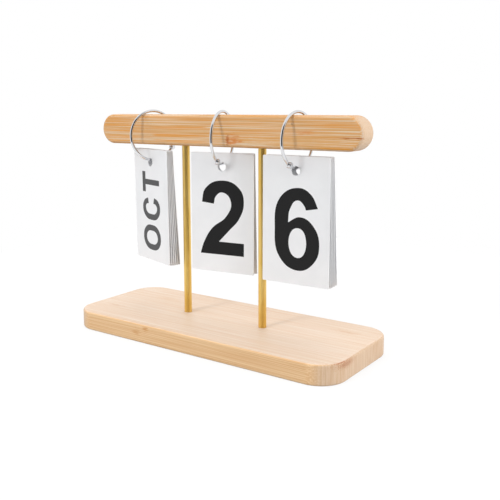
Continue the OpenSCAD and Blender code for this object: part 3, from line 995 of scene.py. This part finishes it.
# %% [markdown]
# ## Camera
# The eye is a little above the bar and well round to the right, so that the faces of the
# leaves, the side of the stacks and the end of the board all show. The camera's three axes are
# worked out from two angles and a slight roll, and set as the columns of its matrix.

# %% A camera from the right front
VIEW_SIDE, VIEW_UP, VIEW_ROLL = math.radians(36.48), math.radians(8.12), math.radians(-0.43)
VIEW_FAR, VIEW_HEIGHT = 462.91, 87.56
SENSOR, LENS, SHIFT = 36, 52.15, (0.0538, -0.0896)

towards_eye = Vector((math.sin(VIEW_SIDE), -math.cos(VIEW_SIDE), 0))
level = Vector((math.cos(VIEW_SIDE), math.sin(VIEW_SIDE), 0))
back = math.cos(VIEW_UP) * towards_eye + Vector((0, 0, math.sin(VIEW_UP)))
upright = back.cross(level)
right = math.cos(VIEW_ROLL) * level + math.sin(VIEW_ROLL) * upright
up = -math.sin(VIEW_ROLL) * level + math.cos(VIEW_ROLL) * upright
lens = bpy.data.cameras.new("camera")
lens.sensor_width, lens.lens = SENSOR, LENS
lens.shift_x, lens.shift_y = SHIFT
lens.clip_start, lens.clip_end = 0.01, 20
camera = bpy.data.objects.new("camera", lens)
bpy.context.collection.objects.link(camera)
stand_at = Matrix.Translation(back * VIEW_FAR * MM + Vector((0, 0, VIEW_HEIGHT * MM)))
camera.matrix_world = stand_at @ Matrix((right, up, back)).transposed().to_4x4()
bpy.context.scene.camera = camera
print("camera at", [round(c, 3) for c in camera.matrix_world.translation])

# %% [markdown]
# ## Light
# Soft studio light, at a level where a colour comes out about as it was mixed. A small lamp
# high in front throws the soft shadow of each ring on the bar and the leaves, and three large
# ones fill the left, the right and the top. The lamps are hidden from the metal, because a
# round spot on every wire would look like a bulb.

# %% Lamps: place in m, width of the disc in m, power in watts
LAMPS = {
    "key": ((-0.3, -1.0, 0.73), 0.26, 4.5),
    "left": ((-1.0, -0.6, 0.35), 0.8, 2.8),
    "right": ((1.2, 0.0, 0.22), 0.6, 10),
    "top": ((-0.2, 0.4, 1.2), 0.8, 2.0),
}
AIM = Vector((0, 0, 0.08))
for name, (place, size, watts) in LAMPS.items():
    light = bpy.data.lights.new(name, "AREA")
    light.shape, light.size, light.energy = "DISK", size, watts
    holder = bpy.data.objects.new(name, light)
    bpy.context.collection.objects.link(holder)
    holder.location = place
    holder.rotation_euler = (AIM - Vector(place)).to_track_quat("-Z", "Y").to_euler()
    holder.visible_glossy = False
print("lamps:", {name: watts for name, (place, size, watts) in LAMPS.items()})

# %% [markdown]
# ## Sky
# The sky does three jobs, and Light Path tells them apart. To the eye it is white. To the metal
# it is a white room with one dark part on the front side, because bright wire looks bright only
# beside something dark. To wood and card it is an even light that is weaker from below.

# %% Helpers for the sky
SKY_LIGHT, WHITE, ROOM_DARK, BELOW = 0.82, (1, 1, 1, 1), (0.04, 0.04, 0.043, 1), (0.25, 0.25, 0.25, 1)
DARK_FROM, DARK_TO = math.radians(44), math.radians(52)
CEILING_FROM, CEILING_TO = 0.75, 0.85
HORIZON = 0.1

world = bpy.context.scene.world or bpy.data.worlds.new("sky")
bpy.context.scene.world = world
world.use_nodes = True
world.node_tree.nodes.clear()
sky = Nodes(world.node_tree)
ray = sky.add("TexCoord").outputs["Generated"]


def along(direction):
    """How far the ray runs along a direction, from -1 to 1."""
    node = sky.add("VectorMath", operation="DOT_PRODUCT")
    for value, socket in zip((ray, tuple(direction)), node.inputs):
        sky.link(value, socket)
    return node.outputs["Value"]


def backdrop(colour, strength=1.0):
    node = sky.add("Background")
    for value, socket in zip((colour, strength), node.inputs):
        sky.link(value, socket)
    return node.outputs["Background"]


print("sky cleared")

# %% Sky: white to the eye, a room for the metal and an even light for the rest
height = along((0, 0, 1))
bearing = sky.math("ARCTAN2", sky.math("ABSOLUTE", along(level)), along(towards_eye))
dark = sky.math("MULTIPLY", sky.band(bearing, DARK_FROM, DARK_TO, 1.0, 0.0),
                sky.band(height, CEILING_FROM, CEILING_TO, 1.0, 0.0))
room = backdrop(sky.mix(dark, WHITE, ROOM_DARK))
even = backdrop(sky.mix(sky.band(height, -HORIZON, HORIZON), BELOW, WHITE), SKY_LIGHT)
rays = sky.add("LightPath").outputs
looked_at = sky.math("MAXIMUM", rays["Is Camera Ray"], rays["Is Transmission Ray"])
around = sky.mix_shaders(rays["Is Glossy Ray"], even, room)
shown = sky.mix_shaders(looked_at, around, backdrop(WHITE))
sky.link(shown, sky.add("OutputWorld").inputs["Surface"])
bpy.context.scene.view_settings.view_transform = "Standard"
print("sky ready:", len(world.node_tree.nodes), "nodes")
